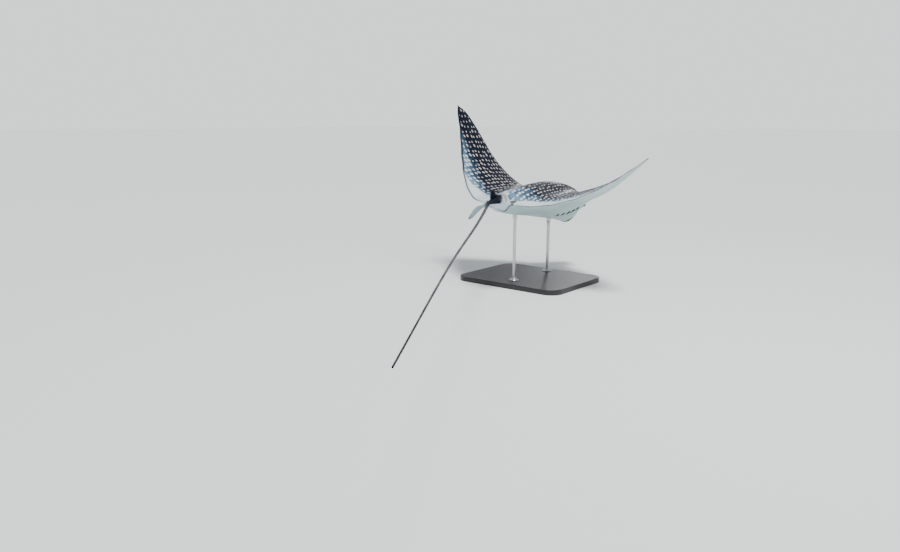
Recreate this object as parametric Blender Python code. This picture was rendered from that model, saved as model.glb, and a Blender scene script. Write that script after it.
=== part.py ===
# Spotted eagle ray, swimming, as a life-size still model on a two-rod display stand.
# Metres, +Z up. The ray swims towards -Y and its left side is +X.
# The origin is the centre of the stand's underside, below the middle of the disc.
# Body places are given as shares of the disc's width: forward along the body, out along
# the span as if the wing lay flat, and up from the body's middle plane.

import math

import bmesh
import bpy
import numpy as np
from mathutils import Matrix, Vector

# Driving sizes, in metres
discWidth = 1.80
bodyHeight = 0.50
gap = 0.0004
baseSize = (0.74, 0.58, 0.030)
baseCorner = 0.080
rodRadius = 0.010
padRadius = 0.014
padGap = 0.0006

# Places along the body, as shares of the disc's width, and its pitch in degrees
discMiddle = 0.22
noseDown = 2.5
bodyHalf = 0.062
bodyRear = 0.040
neck = 0.360
browFront = 0.500
lobeTip = 0.5558
wingCuts = (bodyHalf, 0.180, 0.330, 0.4995)
rodPlaces = {"front": 0.335, "rear": 0.125}
edgeHalf = 0.0005

frontEdge = ((0.062, 0.458), (0.12, 0.430), (0.20, 0.388), (0.30, 0.334),
             (0.40, 0.282), (0.46, 0.243), (0.485, 0.218), (0.50, 0.188))
rearEdge = ((0.062, 0.042), (0.080, 0.036), (0.102, 0.037), (0.15, 0.057), (0.20, 0.082),
            (0.30, 0.126), (0.40, 0.158), (0.47, 0.172), (0.50, 0.184))
crestLine = ((0.04, 0.030), (0.10, 0.043), (0.20, 0.057), (0.29, 0.067), (0.345, 0.0675),
             (0.38, 0.063), (0.42, 0.0535), (0.45, 0.0435), (0.47, 0.033), (0.488, 0.019),
             (0.505, 0.004), (0.525, -0.009), (0.556, -0.018))
keelLine = ((0.04, 0.026), (0.10, 0.037), (0.20, 0.047), (0.30, 0.059), (0.38, 0.069),
            (0.43, 0.0785), (0.45, 0.080), (0.466, 0.072), (0.485, 0.056), (0.515, 0.040),
            (0.556, 0.0255))
foilTop = ((0.0, 0.027), (0.062, 0.026), (0.12, 0.0255), (0.20, 0.0245), (0.26, 0.018),
           (0.33, 0.0095), (0.45, 0.0026), (0.50, 0.0012))
foilUnder = ((0.0, 0.013), (0.062, 0.011), (0.12, 0.006), (0.20, 0.003), (0.33, 0.0018),
             (0.45, 0.0012), (0.50, 0.0010))
tailRoute = ((0.040, 0.000), (-0.030, 0.004), (-0.090, 0.044), (-0.200, 0.121),
             (-0.471, 0.300), (-0.923, 0.590), (-1.407, 0.914))
tailHalf = ((0.00, 0.0265), (0.035, 0.0168), (0.07, 0.0098), (0.11, 0.0070), (0.24, 0.0048),
            (0.60, 0.0032), (1.20, 0.0021), (1.77, 0.0012))
tailCuts = (("tail_base", 0.0, 0.13, 14), ("tail_1", 0.13, 0.50, 14), ("tail_2", 0.50, 0.92, 10),
            ("tail_3", 0.92, 1.36, 10), ("tail_4", 1.36, 1.760, 10))

# Each wing's slope up from level at its middle and tip, its twist and its sweep,
# and the droop of the pelvic fin on that side
wings = {
    "left": {"side": 1, "middle": 61.2, "tip": 66.7, "twist": -4.0, "sweep": 0.006,
             "droop": 1.15},
    "right": {"side": -1, "middle": 27.3, "tip": 34.2, "twist": 13.7, "sweep": 0.055,
              "droop": 0.38},
}

slate = (0.045, 0.060, 0.085)
paleSlate = (0.16, 0.20, 0.24)
tailDark = (0.020, 0.024, 0.032)
spineBone = (0.55, 0.50, 0.40)
eyeDark = (0.010, 0.010, 0.012)
baseBlack = (0.030, 0.031, 0.033)
steel = (0.60, 0.60, 0.61)


def clearScene():
    for item in list(bpy.data.objects):
        bpy.data.objects.remove(item, do_unlink=True)


def newCollection(name):
    group = bpy.data.collections.new(name)
    bpy.context.scene.collection.children.link(group)
    return group


def makeMaterial(name, colour, roughness, metallic=0.0):
    material = bpy.data.materials.new(name)
    material.use_nodes = True
    shader = material.node_tree.nodes["Principled BSDF"]
    shader.inputs["Base Color"].default_value = (*colour, 1.0)
    shader.inputs["Roughness"].default_value = roughness
    shader.inputs["Metallic"].default_value = metallic
    return material


def through(points, at):
    """Height at one place of the smooth curve through a few points."""
    xs = [point[0] for point in points]
    ys = [point[1] for point in points]
    at = min(max(at, min(xs[0], xs[-1])), max(xs[0], xs[-1]))
    if xs[0] > xs[-1]:
        xs, ys = xs[::-1], ys[::-1]
    k = min(max(int(np.searchsorted(xs, at)) - 1, 0), len(xs) - 2)
    slope = [0.0, 0.0]
    for n, i in enumerate((k, k + 1)):
        low, high = max(i - 1, 0), min(i + 1, len(xs) - 1)
        slope[n] = (ys[high] - ys[low]) / (xs[high] - xs[low])
    width = xs[k + 1] - xs[k]
    t = (at - xs[k]) / width
    return ((2 * t**3 - 3 * t**2 + 1) * ys[k] + (t**3 - 2 * t**2 + t) * width * slope[0]
            + (3 * t**2 - 2 * t**3) * ys[k + 1] + (t**3 - t**2) * width * slope[1])


def ease(low, high, at):
    """A smooth step from 0 at low to 1 at high."""
    t = min(max((at - low) / (high - low), 0.0), 1.0)
    return t * t * (3 - 2 * t)


def wingEdges(span):
    """The wing's front and rear edges at one span, drawn together at the rounded tip."""
    front, rear = through(frontEdge, span), through(rearEdge, span)
    close = math.sqrt(max(1 - max((span - 0.478) / 0.022, 0.0)**2, 0.0))
    middle = 0.4 * front + 0.6 * rear
    return middle + (front - middle) * close, middle + (rear - middle) * close


def chordPlace(span, forward):
    """How far back a place lies between the wing's front and rear edges, 0 to 1."""
    front, rear = wingEdges(min(max(span, bodyHalf), 0.4999))
    return min(max((front - forward) / (front - rear), 0.0), 1.0)


def foil(span, forward):
    """Thickness share along the wing's chord: round in front, thin behind."""
    c = chordPlace(span, forward)
    return math.sqrt(c) * (1 - c)**0.9 / 0.402


def bodyShare(span, forward):
    """How much of the body's swelling is left near the wing's edges."""
    c = chordPlace(span, forward)
    thin = min(c / 0.10, 1.0)**0.5 * min((1 - c) / 0.30, 1.0)**0.8
    return 1 - (1 - thin) * ease(0.015, 0.064, span)


def topHeight(span, forward):
    """The back's height above the middle plane, wing and body together."""
    thin = through(foilTop, span) * foil(span, forward)
    width = 0.088 - 0.030 * ease(0.34, 0.46, forward)
    power = 2.0 + 2.0 * ease(0.34, 0.46, forward)
    body = max(through(crestLine, forward), 0.0)
    return thin + (body - thin) * math.exp(-(span / width)**power) * bodyShare(span, forward)


def underHeight(span, forward):
    """The belly's depth below the middle plane."""
    thin = through(foilUnder, span) * foil(span, forward)
    body = through(keelLine, forward)
    swell = math.exp(-(span / 0.079)**2.5) * bodyShare(span, forward)
    return thin + (body - thin) * swell


def halfWidth(forward):
    """Half the width of the middle strip: straight along the trunk, round at the snout."""
    lobe = max(1 - (max(forward - 0.485, 0.0) / 0.071)**2.6, 0.0)**0.5
    return (bodyHalf - 0.015 * ease(0.474, 0.504, forward)) * lobe


def middleHeights(across, forward):
    """Back and belly of the middle strip, at a share of its half width."""
    span = abs(across) * bodyHalf
    head = ease(0.33, 0.44, forward)
    lobe = ease(0.478, 0.505, forward)
    crest, keel = through(crestLine, forward), through(keelLine, forward)
    level = -0.5 * (keel - crest) if crest < keel else 0.0
    sideTop = topHeight(bodyHalf, forward) * (1 - lobe) + (level + edgeHalf) * lobe
    sideUnder = underHeight(bodyHalf, forward) * (1 - lobe) + (edgeHalf - level) * lobe
    arch = max(1 - abs(across)**2.0, 0.0)**0.7
    flat = max(1 - abs(across)**1.9, 0.0)**0.8
    top = topHeight(span, forward) * (1 - head) + (sideTop + (crest - sideTop) * arch) * head
    under = underHeight(span, forward) * (1 - head) + (sideUnder + (keel - sideUnder) * flat) * head
    return top + edgeHalf, -under - edgeHalf


def wingSpine(wing):
    """Places and slopes along the wing's raised line, from the middle line out."""
    steps = 500
    spans = np.linspace(0.0, 0.5, steps + 1)
    t = np.clip((spans - bodyHalf) / (0.5 - bodyHalf), 0.0, 1.0)
    slope = np.radians(wing["middle"]) * 4 * t * (1 - t) + np.radians(wing["tip"]) * 2 * t * (t - 0.5)
    step = spans[1]
    out = np.concatenate(([0.0], np.cumsum(np.cos(slope[1:]) * step)))
    up = np.concatenate(([0.0], np.cumsum(np.sin(slope[1:]) * step)))
    return spans, out, up, slope


def place(forward, across, up):
    """A body place in metres; across is positive to the ray's left."""
    pitch = math.radians(noseDown)
    ahead = (forward - discMiddle) * math.cos(pitch) + up * math.sin(pitch)
    rise = up * math.cos(pitch) - (forward - discMiddle) * math.sin(pitch)
    return Vector((across * discWidth, -ahead * discWidth, bodyHeight + rise * discWidth))


def wingPlace(wing, spine, span, forward, height):
    """A place on a raised wing from its flat span, its forward place and its height."""
    spans, out, up, slope = spine
    angle = np.interp(span, spans, slope)
    t = min(max((span - bodyHalf) / (0.5 - bodyHalf), 0.0), 1.0)
    twist = math.radians(wing["twist"]) * t
    ahead = forward - 0.25
    lift = height + ahead * math.sin(twist)
    forward = 0.25 + ahead * math.cos(twist) - wing["sweep"] * t * t
    across = np.interp(span, spans, out) - lift * math.sin(angle)
    rise = np.interp(span, spans, up) + lift * math.cos(angle)
    return place(forward, wing["side"] * across, rise)


def addObject(name, bm, material, group):
    bmesh.ops.recalc_face_normals(bm, faces=bm.faces)
    if bm.calc_volume(signed=True) < 0:
        bmesh.ops.reverse_faces(bm, faces=bm.faces)
    mesh = bpy.data.meshes.new(name)
    bm.to_mesh(mesh)
    bm.free()
    mesh.shade_smooth()
    mesh.set_sharp_from_angle(angle=math.radians(40))
    mesh.materials.append(material)
    item = bpy.data.objects.new(name, mesh)
    group.objects.link(item)
    return item


def slab(name, columns, rows, shape, material, group):
    """A closed slab from a grid: shape gives the upper and lower place for two shares, 0 to 1."""
    bm = bmesh.new()
    bmesh.ops.create_grid(bm, x_segments=columns, y_segments=rows, size=0.5)
    upper = list(bm.verts)
    lower = bmesh.ops.extrude_face_region(bm, geom=bm.faces[:], use_keep_orig=True)
    lower = [piece for piece in lower["geom"] if isinstance(piece, bmesh.types.BMVert)]
    for level, ring in enumerate((upper, lower)):
        for vert in ring:
            vert.co = shape(vert.co.x + 0.5, vert.co.y + 0.5)[level]
    return addObject(name, bm, material, group)


def makeMiddle(name, rear, front, columns, rows, material, group):
    """A length of the body's middle strip."""
    def shape(a, b):
        across = math.sin(math.radians(90) * (2 * a - 1))
        forward = rear + (front - rear) * math.sin(math.radians(90) * b)
        half = halfWidth(forward) - 0.5 * gap / discWidth
        top, under = middleHeights(across, forward)
        return place(forward, across * half, top), place(forward, across * half, under)
    return slab(name, columns, rows, shape, material, group)


def makeWingLength(name, wing, spine, inner, outer, columns, rows, material, group, finer=1.0):
    """A length of a wing, from one span to another, with finer steps towards a tip."""
    inner += 0.5 * gap / discWidth
    outer -= 0.5 * gap / discWidth

    def shape(a, b):
        span = outer - (outer - inner) * (1 - a)**finer
        front, rear = wingEdges(span)
        forward = front - (front - rear) * b**1.4
        top, under = topHeight(span, forward) + edgeHalf, -underHeight(span, forward) - edgeHalf
        return wingPlace(wing, spine, span, forward, top), wingPlace(wing, spine, span, forward, under)
    return slab(name, columns, rows, shape, material, group)


def makePelvicFin(name, wing, material, group):
    """A rounded fin beside the tail's root, drooping outwards."""
    def shape(a, b):
        back = math.sin(math.radians(90) * b)
        forward = bodyRear - gap / discWidth - 0.088 * back
        close = math.sqrt(max(1 - max((b - 0.55) / 0.46, 0.0)**2, 0.0))
        half = (0.0145 + 0.0105 * ease(0.0, 0.7, b)) * close
        across = 0.0420 + 0.0110 * back + half * (2 * a - 1)
        level = 0.003 - 0.004 * b - wing["droop"] * (across - 0.030) * ease(0.0, 0.5, b)
        thick = edgeHalf + 0.012 * (1 - a)**1.2 * (1 - b)**1.5 + 0.0030 * (1 - b) * (1 - (2 * a - 1)**2)
        across *= wing["side"]
        return place(forward, across, level + thick), place(forward, across, level - thick)
    return slab(name, 8, 10, shape, material, group)


def tailPath():
    """Finely spaced places along the level tail, and how far along it each one is."""
    root = place(bodyRear, 0, 0.003)
    places = []
    for forward in np.linspace(tailRoute[0][0], tailRoute[-1][0], 400):
        back = (bodyRear - float(forward)) * discWidth
        rise = 0.0087 * ease(0.0, 0.24, bodyRear - float(forward)) * discWidth
        places.append(root + Vector((-through(tailRoute, float(forward)) * discWidth, back, rise)))
    along = [0.0]
    for before, after in zip(places, places[1:]):
        along.append(along[-1] + (after - before).length / discWidth)
    return along, np.array(places)


def onPath(path, at):
    along, places = path
    return Vector([float(np.interp(at, along, places[:, axis])) for axis in range(3)])


def makeTailLength(name, path, start, end, rings, sides, material, group):
    """A tapering length of the tail, oval at the root and round behind."""
    start += 0.5 * gap / discWidth
    end -= 0.5 * gap / discWidth
    bm = bmesh.new()
    bmesh.ops.create_cone(bm, segments=sides, radius1=1, radius2=1, depth=1, cap_ends=True)
    long = [edge for edge in bm.edges if abs(edge.verts[0].co.z - edge.verts[1].co.z) > 0.5]
    bmesh.ops.subdivide_edges(bm, edges=long, cuts=rings - 1, use_grid_fill=False)
    for vert in bm.verts:
        at = start + (end - start) * (vert.co.z + 0.5)
        centre = onPath(path, at)
        ahead = (onPath(path, at + 0.004) - onPath(path, at - 0.004)).normalized()
        if at < 0.004:
            ahead = place(-1, 0, 0) - place(0, 0, 0)
            ahead.normalize()
        beside = ahead.cross(Vector((0, 0, 1))).normalized()
        over = beside.cross(ahead).normalized()
        half = through(tailHalf, at) * discWidth
        tall = half * (1.0 + 0.12 * ease(0.10, 0.0, at))
        vert.co = centre + beside * (vert.co.x * half) + over * (vert.co.y * tall)
    return addObject(name, bm, material, group)


def makeDorsalFin(material, group):
    """The small upright fin on the tail's root, leaning back to a rounded tip."""
    front, length, height = 0.022, 0.038, 0.022

    def shape(a, b):
        chord = length * (1 - 0.72 * b**1.3)
        lean = 0.022 * b
        forward = front - lean - chord * a
        ridge = 0.003 + through(tailHalf, bodyRear - forward) * 1.12
        rise = ridge * (1 - b) + 0.022 * b + height * b * (1 - 0.10 * (2 * a - 1)**2) + gap / discWidth
        half = 0.0006 + 0.0022 * (1 - b) * math.sin(math.radians(180) * min(max(a, 0.06), 0.94))
        return place(forward, half, rise), place(forward, -half, rise)
    return slab("dorsal_fin", 8, 8, shape, material, group)


def makeSpine(name, start, length, tilt, path, material, group):
    """A flat tapering stinging spine lying back along the tail."""
    bm = bmesh.new()
    bmesh.ops.create_cone(bm, segments=8, radius1=0.5, radius2=0.06, depth=1, cap_ends=True)
    root = onPath(path, start)
    ahead = (onPath(path, start + 0.02) - onPath(path, start - 0.01)).normalized()
    beside = ahead.cross(Vector((0, 0, 1))).normalized()
    clear = through(tailHalf, start) * discWidth * 1.1 + 0.0032
    rise = math.tan(math.radians(tilt))
    for vert in bm.verts:
        back = (vert.co.z + 0.5) * length * discWidth
        vert.co = (root + ahead * back + beside * (vert.co.x * 0.0070)
                   + Vector((0, 0, clear + back * rise + vert.co.y * 0.0042)))
    return addObject(name, bm, material, group)


def makeEye(name, side, material, group, head, cutters):
    """A dark round eye in a socket on the side of the head."""
    radius = 0.0088 * discWidth
    centre = place(0.4685, side * 0.0515, 0.0110)
    for label, size, target in ((name, radius, group), (name + "_socket", radius + gap, cutters)):
        bm = bmesh.new()
        bmesh.ops.create_uvsphere(bm, u_segments=16, v_segments=10, radius=size)
        bmesh.ops.rotate(bm, verts=bm.verts, cent=(0, 0, 0), matrix=Matrix.Rotation(math.radians(90), 3, "Y"))
        bmesh.ops.translate(bm, verts=bm.verts, vec=centre)
        ball = addObject(label, bm, material, target)
    ball.hide_render = True
    ball.display_type = "WIRE"
    socket = head.modifiers.new("socket", "BOOLEAN")
    socket.operation = "DIFFERENCE"
    socket.object = ball
    socket.solver = "EXACT"


def makeBase(material, group):
    """The flat base, with round corners and a softened upper edge."""
    bm = bmesh.new()
    bmesh.ops.create_cube(bm, size=1.0)
    bmesh.ops.scale(bm, vec=baseSize, verts=bm.verts)
    bmesh.ops.translate(bm, vec=(0, 0, baseSize[2] / 2), verts=bm.verts)
    upright = [edge for edge in bm.edges if abs(edge.verts[0].co.z - edge.verts[1].co.z) > 0.01]
    bmesh.ops.bevel(bm, geom=upright, offset=baseCorner, segments=8, profile=0.5, affect="EDGES")
    top = [edge for edge in bm.edges if min(vert.co.z for vert in edge.verts) > baseSize[2] - 0.001]
    bmesh.ops.bevel(bm, geom=top, offset=0.004, segments=2, profile=0.5, affect="EDGES")
    return addObject("stand_base", bm, material, group)


def bellyAt(x, y):
    """The height of the trunk's belly above one place on the floor."""
    across = x / (bodyHalf * discWidth)
    forward = discMiddle - y / discWidth
    for _ in range(4):
        belly = place(forward, 0, middleHeights(across, forward)[1])
        forward += (belly.y - y) / discWidth
    return belly.z


def makeRod(name, forward, material, group):
    """An upright rod from the base to the belly, with a small shaped head under the skin."""
    y = (discMiddle - forward) * discWidth
    neckLevel = bellyAt(0, y) - 0.030
    levels = {-2: (baseSize[2] + gap, rodRadius), -1: (baseSize[2] + 0.10, rodRadius),
              0: (neckLevel, rodRadius), 1: (neckLevel + 0.012, padRadius)}
    bm = bmesh.new()
    bmesh.ops.create_cone(bm, segments=20, radius1=1, radius2=1, depth=4, cap_ends=True, cap_tris=True)
    upright = [edge for edge in bm.edges if abs(edge.verts[0].co.z - edge.verts[1].co.z) > 2]
    bmesh.ops.subdivide_edges(bm, edges=upright, cuts=3, use_grid_fill=False)
    for vert in bm.verts:
        level, radius = levels.get(round(vert.co.z), (None, padRadius))
        x, beside = vert.co.x * radius, vert.co.y * radius
        if level is None:
            level = bellyAt(x, y + beside) - padGap
        vert.co = (x, y + beside, level)
    return addObject(name, bm, material, group)


def makeRay(group, cutters):
    skin = makeMaterial("ray skin", slate, 0.45)
    pale = makeMaterial("ray pale skin", paleSlate, 0.45)
    whip = makeMaterial("ray tail skin", tailDark, 0.5)
    bone = makeMaterial("ray spine", spineBone, 0.5)
    eye = makeMaterial("ray eye", eyeDark, 0.08)
    cut = 0.5 * gap / discWidth
    makeMiddle("trunk", bodyRear + cut, neck - cut, 16, 14, skin, group)
    head = makeMiddle("head", neck + cut, browFront - cut, 16, 12, skin, group)
    makeMiddle("snout", browFront + cut, lobeTip, 12, 7, skin, group)
    for label, wing in wings.items():
        spine = wingSpine(wing)
        lengths = zip(("inner", "middle", "tip"), wingCuts, wingCuts[1:], (7, 7, 11), (1.0, 1.0, 1.8))
        for part, inner, outer, columns, finer in lengths:
            name = f"wing_{label}_{part}"
            makeWingLength(name, wing, spine, inner, outer, columns, 13, skin, group, finer)
        makePelvicFin(f"pelvic_fin_{label}", wing, pale, group)
        makeEye(f"eye_{label}", wing["side"], eye, group, head, cutters)
    path = tailPath()
    for name, start, end, rings in tailCuts:
        makeTailLength(name, path, start, end, rings, 12, whip, group)
    makeDorsalFin(whip, group)
    makeSpine("stinging_spine", 0.078, 0.056, 4, path, bone, group)


def makeStand(group):
    black = makeMaterial("stand base", baseBlack, 0.4)
    metal = makeMaterial("stand steel", steel, 0.3, 1.0)
    makeBase(black, group)
    for label, forward in rodPlaces.items():
        makeRod(f"stand_rod_{label}", forward, metal, group)


clearScene()
rayParts = newCollection("spotted eagle ray")
rayCutters = newCollection("cutters")
makeRay(rayParts, rayCutters)
makeStand(rayParts)
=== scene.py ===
import math

import bmesh
import bpy
import numpy as np
from mathutils import Matrix, Vector


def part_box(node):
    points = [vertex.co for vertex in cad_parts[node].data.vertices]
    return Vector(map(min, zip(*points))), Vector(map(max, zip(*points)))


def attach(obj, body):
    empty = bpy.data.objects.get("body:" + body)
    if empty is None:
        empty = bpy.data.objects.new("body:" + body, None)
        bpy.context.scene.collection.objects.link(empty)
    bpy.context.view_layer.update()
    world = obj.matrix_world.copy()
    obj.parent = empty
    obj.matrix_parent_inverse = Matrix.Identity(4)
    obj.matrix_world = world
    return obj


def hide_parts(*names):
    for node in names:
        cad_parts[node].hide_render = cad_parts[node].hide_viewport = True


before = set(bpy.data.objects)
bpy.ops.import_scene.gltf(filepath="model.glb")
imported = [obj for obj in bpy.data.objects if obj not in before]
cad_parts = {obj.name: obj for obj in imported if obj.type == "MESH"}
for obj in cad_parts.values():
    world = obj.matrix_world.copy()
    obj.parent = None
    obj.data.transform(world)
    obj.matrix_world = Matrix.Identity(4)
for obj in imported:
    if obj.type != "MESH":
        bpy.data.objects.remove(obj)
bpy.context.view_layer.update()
print("frame loaded")

# Sizes are shares of the disc's width: span out along the wing as if it lay flat,
# forward along the body, up from the body's middle plane.
ray = {"discWidth": 1.80, "height": 0.50, "middle": 0.22, "noseDown": 2.5,
       "bodyHalf": 0.062, "bodyRear": 0.040, "wingRoot": 0.458, "lobeTip": 0.5558,
       "edgeHalf": 0.0005, "wingTip": 0.4996, "twistAxis": 0.25, "ripple": 0.0008,
       "rippleTurns": 95}
discWidth, bodyHalf, bodyRear = (ray[key] for key in ("discWidth", "bodyHalf", "bodyRear"))
frontEdge = ((0.062, 0.458), (0.12, 0.430), (0.20, 0.388), (0.30, 0.334),
             (0.40, 0.282), (0.46, 0.243), (0.485, 0.218), (0.50, 0.188))
rearEdge = ((0.062, 0.042), (0.080, 0.036), (0.102, 0.037), (0.15, 0.057), (0.20, 0.082),
            (0.30, 0.126), (0.40, 0.158), (0.47, 0.172), (0.50, 0.184))
crestLine = ((0.04, 0.030), (0.10, 0.043), (0.20, 0.057), (0.29, 0.067), (0.345, 0.0675),
             (0.38, 0.063), (0.42, 0.0535), (0.45, 0.0435), (0.47, 0.033), (0.488, 0.019),
             (0.505, 0.004), (0.525, -0.009), (0.556, -0.018))
keelLine = ((0.04, 0.026), (0.10, 0.037), (0.20, 0.047), (0.30, 0.059), (0.38, 0.069),
            (0.43, 0.0785), (0.45, 0.080), (0.466, 0.072), (0.485, 0.056), (0.515, 0.040),
            (0.556, 0.0255))
foilTop = ((0.0, 0.027), (0.062, 0.026), (0.12, 0.0255), (0.20, 0.0245), (0.26, 0.018),
           (0.33, 0.0095), (0.45, 0.0026), (0.50, 0.0012))
foilUnder = ((0.0, 0.013), (0.062, 0.011), (0.12, 0.006), (0.20, 0.003), (0.33, 0.0018),
             (0.45, 0.0012), (0.50, 0.0010))
tailRoute = ((0.040, 0.000), (-0.030, 0.004), (-0.090, 0.044), (-0.200, 0.121),
             (-0.471, 0.300), (-0.923, 0.590), (-1.407, 0.914))
tailHalf = ((0.00, 0.0265), (0.035, 0.0168), (0.07, 0.0098), (0.11, 0.0070), (0.24, 0.0048),
            (0.60, 0.0032), (1.20, 0.0021), (1.77, 0.0012))
wings = {"left": {"side": 1, "middle": 61.2, "tip": 66.7, "twist": -4.0, "sweep": 0.006,
                  "droop": 1.42},
         "right": {"side": -1, "middle": 27.3, "tip": 34.2, "twist": 13.7, "sweep": 0.055,
                   "droop": 0.38}}
# Steps of the skin's grid: across the half body and the wing, and along each length
grid = {"body": 28, "wing": 60, "head": 56, "disc": 150, "tail": 150, "fin": 24,
        "tailColumns": 12, "finInner": 13, "finOuter": 25}
tail = {"length": 1.717, "start": 0.003, "rise": 0.0087, "blend": 0.030, "roundTurn": 86}
pelvicFin = {"length": 0.088, "rootHalf": 0.0145, "spread": 0.0105, "leftNarrower": 0.34,
             "lateral": 0.0420, "splay": 0.0110, "level": 0.003, "sink": 0.004,
             "hinge": 0.030, "rootThick": 0.012, "crown": 0.0030, "pinch": 0.46}
dorsalFin = {"front": 0.022, "length": 0.038, "height": 0.022, "rise": 0.022, "lean": 0.022,
             "edge": 0.0006, "half": 0.0022, "taper": 0.72, "levels": 9,
             "rows": (grid["disc"] + 11, grid["disc"] + 25)}


# Small helpers on arrays

def unit(value):
    return np.clip(value, 0, 1)


def ease(low, high, at):
    t = unit((at - low) / (high - low))
    return t * t * (3 - 2 * t)


def through(points, at):
    xs, ys = np.array(sorted(points)).T
    ends = np.arange(len(xs))
    before, after = np.maximum(ends - 1, 0), np.minimum(ends + 1, len(xs) - 1)
    slopes = (ys[after] - ys[before]) / (xs[after] - xs[before])
    at = np.clip(at, xs[0], xs[-1])
    k = np.clip(np.searchsorted(xs, at) - 1, 0, len(xs) - 2)
    width = xs[k + 1] - xs[k]
    t = (at - xs[k]) / width
    return ((2 * t**3 - 3 * t**2 + 1) * ys[k] + (t**3 - 2 * t**2 + t) * width * slopes[k]
            + (3 * t**2 - 2 * t**3) * ys[k + 1] + (t**3 - t**2) * width * slopes[k + 1])


def mix(a, b, share):
    return a + (b - a) * share



# The ray's form, the same as its solids

def wingEdges(span):
    front, rear = through(frontEdge, span), through(rearEdge, span)
    close = np.sqrt(np.maximum(1 - np.maximum((span - 0.478) / 0.022, 0)**2, 0))
    middle = 0.4 * front + 0.6 * rear
    return mix(middle, front, close), mix(middle, rear, close)


def chordPlace(span, forward):
    front, rear = wingEdges(np.clip(span, bodyHalf, 0.4999))
    return unit((front - forward) / (front - rear))


def foil(span, forward):
    c = chordPlace(span, forward)
    return np.sqrt(c) * (1 - c)**0.9 / 0.402


def bodyShare(span, forward):
    c = chordPlace(span, forward)
    thin = np.minimum(c / 0.10, 1)**0.5 * np.minimum((1 - c) / 0.30, 1)**0.8
    return 1 - (1 - thin) * ease(0.015, 0.064, span)


def topHeight(span, forward):
    thin = through(foilTop, span) * foil(span, forward)
    width = 0.088 - 0.030 * ease(0.34, 0.46, forward)
    power = 2.0 + 2.0 * ease(0.34, 0.46, forward)
    body = np.maximum(through(crestLine, forward), 0)
    return thin + (body - thin) * np.exp(-(span / width)**power) * bodyShare(span, forward)


def underHeight(span, forward):
    thin = through(foilUnder, span) * foil(span, forward)
    swell = np.exp(-(span / 0.079)**2.5) * bodyShare(span, forward)
    return thin + (through(keelLine, forward) - thin) * swell


def halfWidth(forward):
    lobe = np.maximum(1 - (np.maximum(forward - 0.485, 0) / 0.071)**2.6, 0)**0.5
    return (bodyHalf - 0.015 * ease(0.474, 0.504, forward)) * lobe


def middleHeights(across, forward):
    across = unit(np.abs(across))
    span = across * bodyHalf
    head, lobe = ease(0.33, 0.44, forward), ease(0.478, 0.505, forward)
    crest, keel = through(crestLine, forward), through(keelLine, forward)
    level = np.where(crest < keel, -0.5 * (keel - crest), 0)
    half = np.full_like(forward, bodyHalf)
    sideTop = topHeight(half, forward) * (1 - lobe) + (level + ray["edgeHalf"]) * lobe
    sideUnder = underHeight(half, forward) * (1 - lobe) + (ray["edgeHalf"] - level) * lobe
    arch, flat = (1 - across**2.0)**0.7, (1 - across**1.9)**0.8
    top = mix(topHeight(span, forward), mix(sideTop, crest, arch), head)
    under = mix(underHeight(span, forward), mix(sideUnder, keel, flat), head)
    return top + ray["edgeHalf"], -under - ray["edgeHalf"]


def place(forward, across, up):
    pitch = math.radians(ray["noseDown"])
    forward = forward - ray["middle"]
    ahead = forward * math.cos(pitch) + up * math.sin(pitch)
    rise = up * math.cos(pitch) - forward * math.sin(pitch)
    return np.stack((across * discWidth, -ahead * discWidth,
                     ray["height"] + rise * discWidth), axis=-1)


def wingPlace(wing, span, forward, height):
    # The wing's slope changes along the span, through its middle's and its tip's values
    spans = np.linspace(0, 0.5, 501)
    t = unit((spans - bodyHalf) / (0.5 - bodyHalf))
    slope = (np.radians(wing["middle"]) * 4 * t * (1 - t)
             + np.radians(wing["tip"]) * 2 * t * (t - 0.5))
    out = np.concatenate(([0], np.cumsum(np.cos(slope[1:]) * spans[1])))
    up = np.concatenate(([0], np.cumsum(np.sin(slope[1:]) * spans[1])))
    angle = np.interp(span, spans, slope)
    t = unit((span - bodyHalf) / (0.5 - bodyHalf))
    twist = np.radians(wing["twist"]) * t
    ahead = forward - ray["twistAxis"]
    lift = height + ahead * np.sin(twist)
    forward = ray["twistAxis"] + ahead * np.cos(twist) - wing["sweep"] * t * t
    across = np.interp(span, spans, out) - lift * np.sin(angle)
    rise = np.interp(span, spans, up) + lift * np.cos(angle)
    return place(forward, wing["side"] * across, rise)


def tailFrames(at):
    # Centre, sideways and upward directions along the tail
    forward = np.linspace(tailRoute[0][0], tailRoute[-1][0], 600)
    back = bodyRear - forward
    route = (-through(tailRoute, forward), back, tail["rise"] * ease(0, 0.24, back))
    places = place(bodyRear, 0.0, tail["start"]) + np.stack(route, axis=-1) * discWidth
    along = np.concatenate(([0], np.cumsum(np.linalg.norm(np.diff(places, axis=0), axis=1))))
    along = along / discWidth

    def at3(value):
        return np.stack([np.interp(value, along, places[:, axis]) for axis in range(3)], axis=-1)
    ahead = at3(at + 0.004) - at3(np.maximum(at - 0.004, 0))
    pitched = place(-1.0, 0.0, 0.0) - place(0.0, 0.0, 0.0)
    share = ease(0.0, 0.02, at)[:, None]
    ahead = ahead / np.linalg.norm(ahead, axis=1)[:, None]
    ahead = mix(pitched / np.linalg.norm(pitched), ahead, share)
    beside = np.cross(ahead, (0, 0, 1))
    beside /= np.linalg.norm(beside, axis=1)[:, None]
    over = np.cross(beside, ahead)
    return at3(at), beside, over / np.linalg.norm(over, axis=1)[:, None]


# From the skin's grid to places on the body

def chordStep(share):
    return 0.75 * share**1.6 + 0.25 * share


def tailAlong(row):
    share = unit((row - grid["disc"]) / grid["tail"])
    return tail["length"] * (0.10 * share + 0.90 * share**2.2)


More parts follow.
